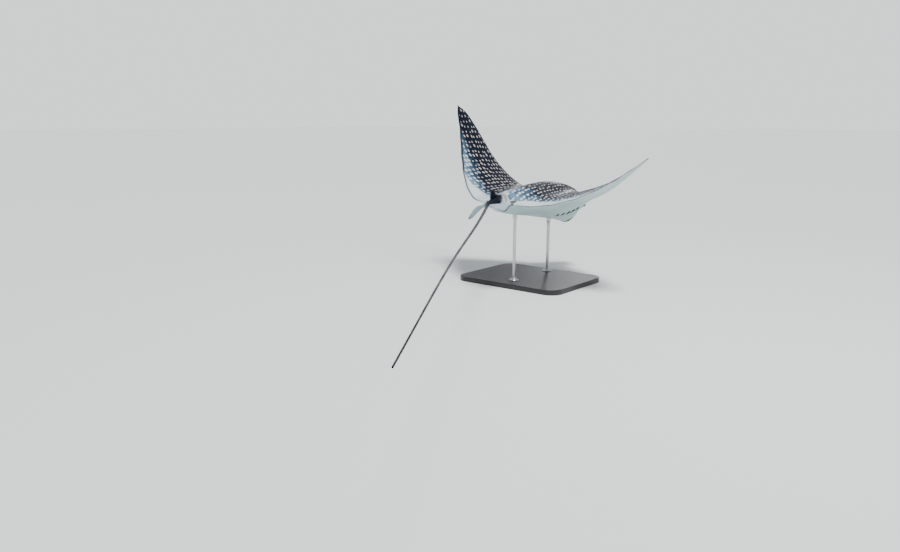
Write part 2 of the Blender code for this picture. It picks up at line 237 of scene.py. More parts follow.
def flatPlaces(column, row):
    # Signed span and forward place of each grid point on the flattened animal
    k = np.abs(column)
    root = ray["wingRoot"]
    step = chordStep(unit(row / grid["disc"]))
    headShare = unit(-row / grid["head"])
    middle = np.where(row < 0, root + (ray["lobeTip"] - root) * np.sin(headShare * math.pi / 2),
                      root - (root - bodyRear) * step)
    share = unit(k / grid["body"])
    across = mix(share, np.sin(share * math.pi / 2), ease(0.30, 0.44, middle))
    middle = middle + 0.002 * across**2 * np.where(row < 0, 0, step)
    t = unit((k - grid["body"]) / grid["wing"])
    outer = t**1.3 / (t**1.3 + (1 - t)**1.5)
    span = bodyHalf + (ray["wingTip"] - bodyHalf) * outer
    front, rear = wingEdges(span)
    onWing = k > grid["body"]
    forward = np.where(onWing, front - (front - rear) * step, middle)
    sign = np.sign(column)
    return np.where(onWing, span, across * bodyHalf) * sign, forward, across * sign


def discPlaces(column, row, low):
    span, forward, across = flatPlaces(column, row)
    top, under = middleHeights(across, forward)
    onBody = place(forward, across * halfWidth(forward), np.where(low, under, top))
    reach = np.abs(span)
    height = np.where(low, -underHeight(reach, forward), topHeight(reach, forward))
    height = height + np.where(low, -1, 1) * ray["edgeHalf"]
    inset = forward - wingEdges(np.clip(reach, 0.062, 0.499))[1]
    ripple = ray["ripple"] * ease(0.10, 0.0, inset) * np.sin(reach * ray["rippleTurns"])
    height = height + ripple * ease(0.07, 0.14, reach) * ease(0.49, 0.40, reach)
    left = wingPlace(wings["left"], reach, forward, height)
    right = wingPlace(wings["right"], reach, forward, height)
    onWing = (np.abs(column) > grid["body"])[:, None]
    return np.where(onWing, np.where((column > 0)[:, None], left, right), onBody)


def tailPlaces(column, row, low):
    # The tail grows out of the trunk's rear wall and becomes a round whip
    at = tailAlong(row)
    centre, beside, over = tailFrames(at)
    half = through(tailHalf, at)
    turn = np.radians(tail["roundTurn"]) * column / grid["tailColumns"]
    sign = np.where(low, -1, 1)
    x = half * np.sin(turn)
    y = half * (1 + 0.12 * ease(0.10, 0, at)) * np.cos(turn) * sign
    across = column / grid["body"]
    top, under = middleHeights(across, np.full_like(across, bodyRear))
    share = ease(0.0, tail["blend"], at)
    x = mix(across * bodyHalf, x, share)
    y = mix(np.where(low, under, top) - tail["start"], y, share)
    # beside points to the ray's right
    x, y = x[:, None] * discWidth, y[:, None] * discWidth
    return centre - beside * x + over * y


def finPlaces(column, row, low):
    # The pelvic fins grow backwards from the trunk's rear corners
    k = np.abs(column)
    a = unit((k - grid["finInner"]) / (grid["finOuter"] - grid["finInner"]))
    b = unit((row - grid["disc"]) / grid["fin"])
    back = np.sin(b * math.pi / 2)
    forward = bodyRear - pelvicFin["length"] * back
    close = np.sqrt(np.maximum(1 - (np.maximum(b - 0.55, 0) / 0.46)**2, 0))
    half = (pelvicFin["rootHalf"] + pelvicFin["spread"] * ease(0, 0.7, b)) * close
    half = half * (1 - np.where(column > 0, pelvicFin["leftNarrower"], 0) * ease(0, 0.4, b))
    across = pelvicFin["lateral"] + pelvicFin["splay"] * back + half * (2 * a - 1)
    droop = np.where(column > 0, wings["left"]["droop"], wings["right"]["droop"])
    level = (pelvicFin["level"] - pelvicFin["sink"] * b
             - droop * (across - pelvicFin["hinge"]) * ease(0, 0.5, b))
    thick = (ray["edgeHalf"] + pelvicFin["rootThick"] * (1 - a)**1.2 * (1 - b)**1.5
             + pelvicFin["crown"] * (1 - b) * (1 - (2 * a - 1)**2))
    height = level + np.where(low, -thick, thick)
    share = k / grid["body"]
    top, under = middleHeights(share, np.full_like(share, bodyRear))
    start = ease(0.0, 0.22, b)
    across = mix(share * bodyHalf, across, start)
    height = mix(np.where(low, under, top), height, start)
    return place(forward, across * np.sign(column), height)


def skinPlaces(column, row, low):
    # Metre places for every grid point, whatever part of the animal it is on
    disc = discPlaces(column, np.clip(row, -grid["head"], grid["disc"]), low)
    behind = (row > grid["disc"])[:, None]
    onTail = (np.abs(column) < grid["tailColumns"] + 0.5)[:, None]
    rear = np.where(onTail, tailPlaces(column, row, low), finPlaces(column, row, low))
    return np.where(behind, rear, disc)


print("form ready")


# The skin: one closed sheet of quads, its back and belly joined round the rim

skinLook = {"wetness": 0.42, "coat": 0.20, "coatRough": 0.18, "sheen": 0.04,
            "slate": (0.0020, 0.0046, 0.0135), "slateShade": (0.0065, 0.0125, 0.0270),
            "midBlue": (0.036, 0.078, 0.135), "paleBlue": (0.13, 0.22, 0.31),
            "pale": (0.60, 0.66, 0.70), "paleShade": (0.42, 0.51, 0.58),
            "spots": (0.58, 0.63, 0.65), "spotsWarm": (0.50, 0.45, 0.45),
            "spotShade": (0.34, 0.35, 0.37), "finBlue": (0.30, 0.39, 0.46),
            "belly": (0.43, 0.58, 0.59), "bellyShade": (0.35, 0.50, 0.52),
            "bellyDusk": (0.22, 0.27, 0.30), "tail": (0.003, 0.005, 0.010),
            "tailShade": (0.010, 0.014, 0.022), "slit": (0.012, 0.010, 0.012),
            "spotSpacing": 0.0190, "spotLength": 0.0053, "spotWidth": 0.0031,
            "spotSizes": (0.72, 1.22), "spotAim": 0.42, "spotRandom": 0.40,
            "bandLeft": ((0, 0.012), (0.05, 0.024), (0.09, 0.068), (0.15, 0.058),
                         (0.20, 0.026), (0.25, 0.005), (0.30, 0.001), (0.5, 0.001)),
            "bandRight": ((0, 0.012), (0.05, 0.022), (0.08, 0.052), (0.16, 0.054),
                          (0.25, 0.026), (0.34, 0.008), (0.42, 0.002), (0.5, 0.001))}


def gridDomain(column, row):
    # Which faces of the full grid belong to the animal, by their middles
    k = np.abs(column)
    head = (row < 0) & (k < grid["body"])
    disc = (row > 0) & (row < grid["disc"])
    whip = (row > grid["disc"]) & (k < grid["tailColumns"])
    fins = ((row > grid["disc"]) & (row < grid["disc"] + grid["fin"])
            & (k > grid["finInner"]) & (k < grid["finOuter"]))
    return head | disc | whip | fins


def vertArray(bm):
    return np.array([vert.co[:] for vert in bm.verts])


def refine(bm, wanted):
    # Halves the grid wherever wanted(places, low) is true
    co = vertArray(bm)
    low = co[:, 2] > 0.5
    keep = wanted(skinPlaces(co[:, 0], co[:, 1], low), low)
    bm.verts.index_update()
    edges = [edge for edge in bm.edges if edge.verts[0].co.z == edge.verts[1].co.z
             and keep[edge.verts[0].index] and keep[edge.verts[1].index]]
    bmesh.ops.subdivide_edges(bm, edges=edges, cuts=1, use_grid_fill=True)


def makeSkinGrid():
    columns = 2 * (grid["body"] + grid["wing"])
    rows = grid["head"] + grid["disc"] + grid["tail"]
    bm = bmesh.new()
    bmesh.ops.create_grid(bm, x_segments=columns, y_segments=rows, size=0.5)
    for vert in bm.verts:
        column = round(vert.co.x * columns)
        row = round((vert.co.y + 0.5) * rows) - grid["head"]
        vert.co = (column, row, 0)
    middles = np.array([face.calc_center_median()[:] for face in bm.faces])
    keep = gridDomain(middles[:, 0], middles[:, 1])
    outside = [face for face, kept in zip(bm.faces[:], keep) if not kept]
    bmesh.ops.delete(bm, geom=outside, context="FACES")
    belly = bmesh.ops.extrude_face_region(bm, geom=bm.faces[:], use_keep_orig=True)
    for piece in belly["geom"]:
        if isinstance(piece, bmesh.types.BMVert):
            piece.co.z = 1
    return bm


def raiseDorsalFin(bm):
    # Pulls the fin's rows up from the tail's top; height steps are kept as negative z
    first, last = dorsalFin["rows"]
    top = [face for face in bm.faces if face.calc_center_median().z == 0
           and abs(face.calc_center_median().x) < 1
           and first < face.calc_center_median().y < last]
    for level in range(1, dorsalFin["levels"] + 1):
        made = bmesh.ops.extrude_face_region(bm, geom=top)["geom"]
        bmesh.ops.delete(bm, geom=[face for face in top if face.is_valid], context="FACES")
        top = [piece for piece in made if isinstance(piece, bmesh.types.BMFace)]
        for piece in made:
            if isinstance(piece, bmesh.types.BMVert):
                piece.co.z = -level


def dorsalPlaces(column, row, level):
    first, last = dorsalFin["rows"]
    a = unit((row - first) / (last - first))
    b = unit((level - 1) / (dorsalFin["levels"] - 1))
    chord = dorsalFin["length"] * (1 - dorsalFin["taper"] * b**1.3)
    forward = dorsalFin["front"] - dorsalFin["lean"] * b - chord * a
    ridge = 0.003 + through(tailHalf, bodyRear - forward) * 1.12
    crown = 1 - 0.10 * (2 * a - 1)**2
    rise = ridge * (1 - b) + dorsalFin["rise"] * b + dorsalFin["height"] * b * crown
    half = (dorsalFin["edge"]
            + dorsalFin["half"] * (1 - b) * np.sin(math.pi * np.clip(a, 0.06, 0.94)))
    return place(forward, half * column, rise)


# Details pressed into the skin. Lateral places are shares of the disc's width.

# Each oval's dark value paints shade into its sunk hollow
gills = {"places": ((0.389, 0.0830), (0.3755, 0.0735), (0.3600, 0.0652), (0.3385, 0.0570),
                    (0.3150, 0.0500)),
         "turn": 108, "half": (0.0128, 0.0086), "depth": 0.0120, "lip": 0.0020, "dark": 0,
         "reach": 0.0185}
mouth = {"forward": 0.4535, "half": (0.056, 0.0062), "bow": 0.0055, "depth": 0.0130,
         "lip": 0.0066, "reach": 0.0165}
# Painted shade on the belly behind the corners of the mouth
mouthCornerShade = {"forward": 0.4375, "lateral": 0.0290, "turn": 22, "half": (0.0260, 0.0170),
        "dark": 0.92}
cloaca = {"forward": 0.052, "half": (0.016, 0.0030), "depth": 0.004, "lip": 0.001, "dark": 0.6}
# Painted shade in the corner between each pelvic fin and the disc
axilShade = {"forward": 0.0450, "lateral": 0.0475, "turn": 10, "half": (0.026, 0.010), "dark": 0.88}
spiracle = {"forward": 0.4345, "lateral": 0.0535, "turn": 12, "half": (0.0185, 0.0085),
            "depth": 0.0165, "lip": 0.0026, "dark": 0.9, "reach": 0.027}
nostril = {"forward": 0.4795, "lateral": 0.0270, "turn": 64, "half": (0.0085, 0.0042),
           "depth": 0.0070, "lip": 0.0012, "reach": 0.014}
curtain = {"rear": 0.4595, "front": 0.486, "half": 0.0270, "height": 0.0030, "soft": 0.003,
           "edge": 0.0008, "fringe": 0.20, "fringeTurns": 900}
eyes = {"lid": 0.0022, "lidRim": 0.0010, "blend": 0.0030, "open": (0.0130, 0.0096),
        "sunk": 0.0034, "reach": 0.027, "fineReach": 0.0205, "gaze": (0.26, 1.0, 0.20),
        "brow": 0.0018, "browAt": 0.0150, "browHalf": (0.017, 0.0045)}


def gillPlaces(side):
    return [(forward, side * lateral) for forward, lateral in gills["places"]]


def eyeBall(label):
    low, high = (Vector(corner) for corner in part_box("eye_" + label))
    return np.array((low + high) / 2), (high - low).x / 2


def eyeAxes(side):
    # Gaze, forward and upward directions of one eye
    ahead, out, up = eyes["gaze"]
    gaze = Vector((side * out, -ahead, up)).normalized()
    along = (Vector((0, -1, 0)) - gaze * gaze.dot(Vector((0, -1, 0)))).normalized()
    return np.array(gaze), np.array(along), np.array(gaze.cross(along) * -side)


def near(points, centre, reach):
    return np.linalg.norm(points - np.array(centre), axis=1) < reach


def sidePlace(forward, lateral, low):
    # A metre place on the finished skin from flat shares
    forward, lateral = np.array([forward]), np.array([lateral])
    wing = wings["left"] if lateral[0] > 0 else wings["right"]
    if abs(lateral[0]) > bodyHalf:
        span = np.abs(lateral)
        height = -underHeight(span, forward) if low else topHeight(span, forward)
        return wingPlace(wing, span, forward, height)[0]
    across = lateral / bodyHalf
    top, under = middleHeights(across, forward)
    return place(forward, across * halfWidth(forward), under if low else top)[0]


def detailRegions():
    # Balls in which the grid is refined once, and again, as (centre, reach, low)
    for label, side in (("left", 1), ("right", -1)):
        yield eyeBall(label)[0], eyes["reach"], None
        for look, low in ((spiracle, False), (nostril, True)):
            yield sidePlace(look["forward"], side * look["lateral"], low), look["reach"], low
        for forward, lateral in gillPlaces(side):
            yield sidePlace(forward, lateral, True), gills["reach"], True
        for share in (0.0, 0.3, 0.6, 0.9):
            lateral = side * share * mouth["half"][0] / discWidth
            yield sidePlace(mouth["forward"] - 0.001, lateral, True), mouth["reach"], True


def refineDetails(bm):
    regions = list(detailRegions())
    for growth in (1.25, 1.0):

        def wanted(places, low):
            keep = np.zeros(len(places), bool)
            for centre, reach, side in regions:
                hit = near(places, centre, reach * growth)
                keep |= hit if side is None else hit & (low == side)
            return keep
        refine(bm, wanted)
    left, right = (eyeBall(label)[0] for label in ("left", "right"))
    refine(bm, lambda places, low: near(places, left, eyes["fineReach"])
           | near(places, right, eyes["fineReach"]))


def press(state, look, forward, lateral, low, turn):
    # Sinks an oval with a raised rim into one side of the skin, and darkens its inside with
    # painted shade
    half = look["half"]
    ahead = (state["forward"] - forward) * discWidth
    beside = (state["span"] - lateral) * discWidth
    ahead = ahead + look.get("bow", 0) * (beside / half[0])**2
    angle = math.radians(turn)
    x = ahead * math.cos(angle) + beside * math.sin(angle)
    y = beside * math.cos(angle) - ahead * math.sin(angle)
    r = np.sqrt((x / half[0])**2 + (y / half[1])**2)
    onSide = state["low"] == low
    sink = look.get("depth", 0) * unit(1.12 - r**2)**1.3
    ridge = look.get("lip", 0) * np.exp(-((np.abs(y) - half[1] * 1.6) / (half[1] * 0.7))**2)
    ridge = ridge * unit(1.15 - np.abs(x / half[0]))
    state["lift"] += np.where(onSide, ridge * (r > 1) - sink, 0)
    shade = look.get("dark", 1) * unit((1.40 - r) / 0.40)
    state["slit"] = np.maximum(state["slit"], np.where(onSide, shade, 0))


def pressDetails(state):
    for side in (1, -1):
        for forward, lateral in gillPlaces(side):
            press(state, gills, forward, lateral, True, side * gills["turn"])
        for look, low, way in ((spiracle, False, -side), (nostril, True, side)):
            press(state, look, look["forward"], side * look["lateral"], low, way * look["turn"])
    press(state, mouth, mouth["forward"], 0, True, 90)
    for side in (1, -1):   # painted shade behind the corners of the mouth
        press(state, mouthCornerShade, mouthCornerShade["forward"], side * mouthCornerShade["lateral"], True,
              90 + side * mouthCornerShade["turn"])
    press(state, cloaca, cloaca["forward"], 0, True, 0)
    # The nasal curtain, a low flap that ends in a sharp edge in front of the mouth
    half, rear, soft, edge = (curtain[key] for key in ("half", "rear", "soft", "edge"))
    inside = ease(half + soft, half - soft, np.abs(state["span"]))
    flap = ease(rear - edge, rear + edge, state["forward"])
    flap = flap * ease(curtain["front"], rear, state["forward"])
    fringe = 1 + curtain["fringe"] * np.sin(state["span"] * curtain["fringeTurns"])
    state["lift"] += np.where(state["low"], curtain["height"] * inside * flap * fringe, 0)


def wrapEyes(state, places):
    # Lays the skin over each ball as lids and opens it along an oval
    for label, side in (("left", 1), ("right", -1)):
        centre, radius = eyeBall(label)
        gaze, along, up = eyeAxes(side)
        away = places - centre
        far = np.linalg.norm(away, axis=1)
        direction = away / far[:, None]
        x, y = away @ along, away @ up
        oval = np.sqrt((x / eyes["open"][0])**2 + (y / eyes["open"][1])**2)
        outward = direction @ gaze > 0.15
        lid = radius + eyes["lid"] + eyes["lidRim"] * np.exp(-((oval - 1.2) / 0.2)**2)
        over = (lid - far) / eyes["blend"]
        covered = far + eyes["blend"] * np.log1p(np.exp(np.clip(over, -30, 30)))
        wide, tall = eyes["browHalf"]
        brow = np.exp(-((y - eyes["browAt"]) / tall)**2) * np.exp(-(x / wide)**2)
        covered = covered + np.where(outward, eyes["brow"] * brow, 0)
        opened = ease(1.10, 0.94, oval) * outward
        wanted = mix(covered, radius - eyes["sunk"], opened)
        wanted = np.where(far < radius * 2.2, wanted, far)
        places = centre + direction * wanted[:, None]
        # painted shade round the eye's opening
        state["slit"] = np.maximum(state["slit"], np.where(
            far < radius * 2, ease(1.22, 1.0, oval) * outward * 0.92, 0))
    return places


def smoothPlaces(bm, chosen, rounds):
    verts = [vert for vert, pick in zip(bm.verts, chosen) if pick]
    for _ in range(rounds):
        bmesh.ops.smooth_vert(bm, verts=verts, factor=0.5, use_axis_x=True, use_axis_y=True,
                              use_axis_z=True)


def setPlaces(bm, places):
    for vert, spot in zip(bm.verts, places):
        vert.co = spot


def shapeSkin(bm):
    grid3 = vertArray(bm)
    column, row, level = grid3.T
    low, onFin = level > 0.5, level < -0.5
    places = skinPlaces(column, row, low)
    other = skinPlaces(column, row, ~low)
    gap = np.abs(np.abs(column) - grid["tailColumns"] - 0.5)
    # Back and belly draw together between the tail and the pelvic fins
    pinch = ease(139, 150, row) * ease(164, 151, row) * ease(4.5, 0.8, gap) * pelvicFin["pinch"]
    places = mix(places, other, pinch[:, None])
    places = np.where(onFin[:, None], dorsalPlaces(column, row, -level), places)
    setPlaces(bm, places)
    rear = grid["disc"]
    # Soft joins at the tail's root, the fins, the dorsal fin, the neck and the lobe
    root = (row > rear - 5) & (row < rear + 11) & (np.abs(column) < grid["body"] + 3) & ~onFin
    smoothPlaces(bm, root, 8)
    smoothPlaces(bm, (row > rear - 18) & (row < rear + 5) & (np.abs(column) > 5)
                 & (np.abs(column) < 20) & ~onFin, 6)
    smoothPlaces(bm, (row > rear + 4) & (np.abs(column) > grid["tailColumns"] + 0.5), 4)
    first, last = dorsalFin["rows"]
    finRoot = onFin & (level > -3) | (row > first - 2) & (row < last + 2) & ~low
    smoothPlaces(bm, finRoot & (np.abs(column) < 3) & (level > -3), 3)
    shoulder = (np.abs(row) < 5) & (np.abs(np.abs(column) - grid["body"]) < 5)
    smoothPlaces(bm, shoulder, 4)
    smoothPlaces(bm, low & (np.abs(row) < 12) & (np.abs(column) > 12)
                 & (np.abs(column) < grid["body"] + 4), 5)
    smoothPlaces(bm, row < 9 - grid["head"], 6)
    bmesh.ops.recalc_face_normals(bm, faces=bm.faces)
    if bm.calc_volume(signed=True) < 0:
        bmesh.ops.reverse_faces(bm, faces=bm.faces)
    bm.normal_update()
    span, forward, across = flatPlaces(column, np.clip(row, -grid["head"], rear))
    inBody = np.abs(column) <= grid["body"]
    span = np.where(inBody, across * halfWidth(forward), span)
    state = {"column": column, "row": row, "low": low, "span": span, "forward": forward,
             "across": across, "lift": np.zeros(len(span)), "slit": np.zeros(len(span))}
    pressDetails(state)
    state["lift"] = np.where(row > rear + 1, 0, state["lift"])
    state["slit"] = np.where(row > rear + 1, 0, state["slit"])
    normals = np.array([vert.normal[:] for vert in bm.verts])
    places = vertArray(bm) + normals * state["lift"][:, None]
    places = wrapEyes(state, places)
    setPlaces(bm, places)
    state["places"] = places
    return state


def backMasks(state):
    # How dark the back is, how big its spots are, and where the belly begins
    span, forward = np.abs(state["span"]), state["forward"]
    row, column, low = state["row"], state["column"], state["low"]
    behind = row > grid["disc"]
    whip = behind & (np.abs(column) < grid["tailColumns"] + 0.5)
    fins = behind & ~whip
    edges = wingEdges(np.clip(span, bodyHalf, 0.4999))
    inset = np.maximum(forward - np.where(span < bodyHalf, bodyRear, edges[1]), 0)
    reach = through(((0, 0.20), (0.06, 0.17), (0.12, 0.13), (0.20, 0.115), (0.30, 0.085),
                     (0.40, 0.04), (0.5, 0.01)), span)
    dark = unit(ease(0, 1, inset / reach) + 0.8 * ease(0.28, 0.45, span))
    band = np.where(column > 0, through(skinLook["bandLeft"], span),
                    through(skinLook["bandRight"], span))
    streak = np.exp(-(span / 0.011)**2) * ease(0.20, 0.07, forward)
    pale = np.maximum(ease(1.25, 0.45, inset / band), 0.62 * streak)
    onHead = ease(0.40, 0.47, forward) * (span < bodyHalf * 1.2)
    spotting = (1.0 - 0.30 * ease(0.36, 0.50, span)) * (1 - 0.50 * onHead)
    hump = ease(0.16, 0.22, forward) * ease(0.11, 0.06, span)
    spotting = spotting * (1 - 0.20 * hump)
    spotting = spotting * ease(0.520, 0.485, forward) * ease(0.004, 0.011, inset)
    spotting = spotting * ease(0.0, 0.010, edges[0] - forward + np.where(span < 0.062, 1, 0))
    spotting = spotting * np.where(row < 30, ease(0.93, 0.78, np.abs(state["across"]))
                                   + (np.abs(column) > grid["body"]), 1)
    for label in ("left", "right"):   # bare skin round the eyes
        away = np.linalg.norm(state["places"] - eyeBall(label)[0], axis=1)
        spotting = spotting * ease(0.026, 0.042, away)
    sideLow = ease(0.93, 0.985, np.abs(state["across"])) * ease(-2, -9, row)
    sideLow = np.maximum(sideLow, 0.3 * ease(0.5542, 0.5553, forward))
    back = np.where(low, 0.75 * sideLow, 1.0)
    broad = mix(0.0075, 0.0140, ease(0.18, 0.34, span))
    rim = ease(1.0, 0.30, inset / broad) * ease(0.05, 0.11, span) * ~behind
    rim = np.maximum(rim, ease(0.006, 0.001, edges[0] - forward)
                     * (np.abs(column) > grid["body"]) * ~low)
    tips = ease(0.45, 0.498, span)
    finB = unit((row - grid["disc"]) / grid["fin"])
    finA = (np.abs(column) - grid["finInner"]) / (grid["finOuter"] - grid["finInner"])
    finRim = np.maximum(ease(0.70, 0.98, finB) * ease(0.30, 0.85, finA), ease(0.78, 0.96, finA))
    along = tailAlong(row) - 0.020 * unit(np.abs(column) / grid["tailColumns"])**1.5
    whipDark = ease(-0.010, 0.010, along) * np.where(low, ease(0.02, 0.30, along), 1)
    rootDark = ease(0.062, 0.042, forward) * ease(0.040, 0.022, span) * ~low * 0.6
    return {"back": np.where(behind, np.where(fins, 1 - 0.45 * low, 1), back),
            "dark": np.where(fins, 0.10, dark), "rim": np.where(fins, finRim, rim),
            "spotting": np.where(behind, 0, spotting), "tips": tips, "pale": pale,
            "whip": np.where(whip, whipDark, np.where(behind, 0, rootDark)),
            "fin": np.where(fins, ease(0, 0.25, finB), 0)}


def writeVectors(mesh, name, *parts):
    # Stores three numbers per vertex for a material to read
    layer = mesh.attributes.new(name, "FLOAT_VECTOR", "POINT")
    layer.data.foreach_set("vector", np.stack(parts, axis=-1).astype(np.float32).ravel())


# The layout of the skin's texture map: back and belly sheets, then the tail's strips

bake = {"scale": 0.68, "left": 0.02, "backRow": 0.012, "bellyRow": 0.452, "rear": -0.05,
        "middle": 0.085, "head": 0.120, "tailRow": 0.898, "strip": 0.0235, "strips": 4,
        "column": 0.00042, "wall": 0.0012, "fins": 0.085, "tailLeft": 0.02, "tailWide": 0.95,
        "finSides": (0.85, 0.30), "finTops": (0.90, 0.42), "finEnds": (0.93, 0.97),
        "finWide": 0.10, "finLong": 0.08, "finColumn": 0.012, "finLevel": 0.009}


def outwardStep(column, row):
    # Which way the outside lies from the middle of a rim edge, in grid steps
    upright = np.abs(column - np.round(column)) < 1e-6
    sideways = gridDomain(column + 0.3, row) * -1 + gridDomain(column - 0.3, row) * 1
    lengthwise = gridDomain(column, row + 0.3) * -1 + gridDomain(column, row - 0.3) * 1
    useSide = np.abs(sideways) > 0
    return np.where(useSide, sideways, 0) * upright, np.where(useSide, 0, lengthwise)


def mapPlaces(column, row, low, wallX, wallY):
    # Texture map places of grid points; rim walls stand a little outside their sheet
    span, forward, _ = flatPlaces(column, np.clip(row, -grid["head"], grid["disc"]))
    k = unit(np.abs(column) / grid["body"])
    inBody = np.abs(column) <= grid["body"]
    extra = bake["middle"] - bodyHalf
    span = np.where(inBody, k * bake["middle"], np.abs(span) + extra) * np.sign(column)
    headShare = unit(-row / grid["head"])
    forward = np.where(row < 0, ray["wingRoot"] + bake["head"] * headShare, forward)
    finShare = unit((row - grid["disc"]) / grid["fin"])
    forward = np.where(row > grid["disc"], bodyRear - bake["fins"] * finShare, forward)
    u = bake["left"] + (0.5 + extra + span) * bake["scale"]
    v = (forward - bake["rear"]) * bake["scale"] + np.where(low, bake["bellyRow"], bake["backRow"])
    u, v = u + wallX * bake["wall"], v - wallY * bake["wall"]
    share = unit((row - grid["disc"]) / grid["tail"]) * bake["strips"]
    return u, v, share


def layMap(mesh, grid3):
    layer = mesh.uv_layers.new(name="OFBake")
    corners = np.zeros(len(mesh.loops), np.int32)
    mesh.loops.foreach_get("vertex_index", corners)
    starts = np.zeros(len(mesh.polygons), np.int32)
    totals = np.zeros(len(mesh.polygons), np.int32)
    mesh.polygons.foreach_get("loop_start", starts)
    mesh.polygons.foreach_get("loop_total", totals)
    faceOf = np.repeat(np.arange(len(starts)), totals)
    column, row, level = grid3[corners].T

    def mean(value):
        return (np.bincount(faceOf, value) / totals)[faceOf]
    middleColumn, middleRow, middleLevel = mean(column), mean(row), mean(level)
    wall = (middleLevel > 0.02) & (middleLevel < 0.98)
    outX, outY = outwardStep(middleColumn, middleRow)
    shift = wall * (level > 0.5)
    u, v, share = mapPlaces(column, row, middleLevel > 0.98, outX * shift, outY * shift)
    onTail = (middleRow > grid["disc"]) & (np.abs(middleColumn) <= grid["tailColumns"])
    strip = np.clip(np.floor(mean(share)), 0, bake["strips"] - 1)
    belly = middleLevel > 0.98
    ring = np.where(belly, 3 * grid["tailColumns"] + 3 - column, grid["tailColumns"] + column)
    ring = np.where(wall & (level > 0.5), np.where(
        middleColumn > 0, 2 * grid["tailColumns"] + 2, -2), ring)
    u = np.where(onTail, bake["tailLeft"] + bake["tailWide"] * (share - strip), u)
    v = np.where(onTail, bake["tailRow"] + bake["strip"] * strip + (ring + 2) * bake["column"], v)
    fin = middleLevel < -0.02
    first, last = dorsalFin["rows"]
    a = (row - first) / (last - first)
    onSide = np.abs(middleColumn) > 0.9
    onTop = middleLevel < -dorsalFin["levels"] + 0.01
    sides, tops, ends = bake["finSides"], bake["finTops"], bake["finEnds"]
    finU = np.where(onTop, tops[0], np.where(mean(a) < 0.5, *ends)) + bake["finColumn"] * column
    finU = np.where(onSide, sides[0] + bake["finWide"] * a, finU)
    sideV = sides[1] + np.sign(middleColumn) * (0.01 - bake["finLevel"] * level)
    finV = tops[1] + np.where(onTop, bake["finLong"] * a, -bake["finLevel"] * level)
    finV = np.where(onSide, sideV, finV)
    u, v = np.where(fin, finU, u), np.where(fin, finV, v)
    layer.data.foreach_set("uv", np.stack((u, v), axis=-1).astype(np.float32).ravel())


# Materials

class Nodes:
    # Short calls for building one material's or group's node tree

    def __init__(self, tree):
        self.tree = tree

    def add(self, kind, inputs=(), **settings):
        node = self.tree.nodes.new(kind)
        for name, value in settings.items():
            setattr(node, name, value)
        for name, value in dict(inputs).items():
            self.put(node.inputs[name], value)
        return node

    def put(self, socket, value):
        if isinstance(value, bpy.types.NodeSocket):
            self.tree.links.new(value, socket)
        elif socket.type == "RGBA" and len(value) == 3:
            socket.default_value = (*value, 1)
        else:
            socket.default_value = value

    def math(self, operation, a, b=0.0):
        node = self.add("ShaderNodeMath", {0: a, 1: b}, operation=operation)
        return node.outputs[0]

    def times(self, a, b):
        return self.math("MULTIPLY", a, b)

    def plus(self, a, b):
        return self.math("ADD", a, b)

    def length(self, a, b):
        return self.math("SQRT", self.plus(self.times(a, a), self.times(b, b)))

    def vector(self, operation, a, b=(0, 0, 0), output="Vector"):
        node = self.add("ShaderNodeVectorMath", {0: a, 1: b}, operation=operation)
        return node.outputs[output]

    def ramp(self, value, low, high, start=0.0, end=1.0):
        node = self.add("ShaderNodeMapRange", {
            "Value": value, "From Min": low, "From Max": high, "To Min": start, "To Max": end},
            interpolation_type="SMOOTHSTEP")
        return node.outputs[0]

    def sway(self, value, noise, reach):
        # The value, carried up and down by a noise
        return self.plus(value, self.ramp(noise, 0.3, 0.7, -reach, reach))

    def blend(self, share, a, b):
        node = self.add("ShaderNodeMix", {0: share, 6: a, 7: b}, data_type="RGBA")
        return node.outputs[2]

    def split(self, vector):
        node = self.add("ShaderNodeSeparateXYZ", {0: vector})
        return node.outputs

    def read(self, name):
        return self.add("ShaderNodeAttribute", attribute_name=name).outputs["Vector"]

    def noise(self, vector, scale, detail=3.0, rough=0.5):
        node = self.add("ShaderNodeTexNoise", {
            "Vector": vector, "Scale": scale, "Detail": detail, "Roughness": rough})
        return node.outputs[0]

    def place(self):
        return self.add("ShaderNodeTexCoord").outputs["Object"]


def makeGroup(name, inputs, outputs):
    group = bpy.data.node_groups.new(name, "ShaderNodeTree")
    for label, kind, value in inputs:
        socket = group.interface.new_socket(label, in_out="INPUT", socket_type=kind)
        if value is not None:
            socket.default_value = value
    for label, kind in outputs:
        group.interface.new_socket(label, in_out="OUTPUT", socket_type=kind)
    nodes = Nodes(group)
    return group, nodes, nodes.add("NodeGroupInput").outputs, nodes.add("NodeGroupOutput").inputs


def makeMottleGroup():
    # Large cloudy variation and fine grain, from a place on the object
    group, nodes, given, out = makeGroup("mottle", (
        ("Place", "NodeSocketVector", None), ("Cloud", "NodeSocketFloat", 6.0),
        ("Grain", "NodeSocketFloat", 300.0)), (
        ("Cloud", "NodeSocketFloat"), ("Grain", "NodeSocketFloat")))
    cloud = nodes.noise(given["Place"], given["Cloud"], 4.0, 0.55)
    grain = nodes.noise(given["Place"], given["Grain"], 3.0, 0.6)
    nodes.put(out["Cloud"], nodes.ramp(cloud, 0.30, 0.70))
    nodes.put(out["Grain"], nodes.ramp(grain, 0.25, 0.75))
    return group


def startMaterial(name, mottle, cloud, grain, **fixed):
    # A material with the mottle's masks; fixed values go on the shader's own sockets
    material = bpy.data.materials.new(name)
    material.use_nodes = True
    nodes = Nodes(material.node_tree)
    shader = material.node_tree.nodes["Principled BSDF"]
    for label, value in fixed.items():
        shader.inputs[label.replace("_", " ")].default_value = value
    spot = nodes.place()
    group = nodes.add("ShaderNodeGroup", node_tree=mottle)
    nodes.put(group.inputs["Place"], spot)
    nodes.put(group.inputs["Cloud"], cloud)
    nodes.put(group.inputs["Grain"], grain)
    return material, nodes, shader, spot, group.outputs["Cloud"], group.outputs["Grain"]


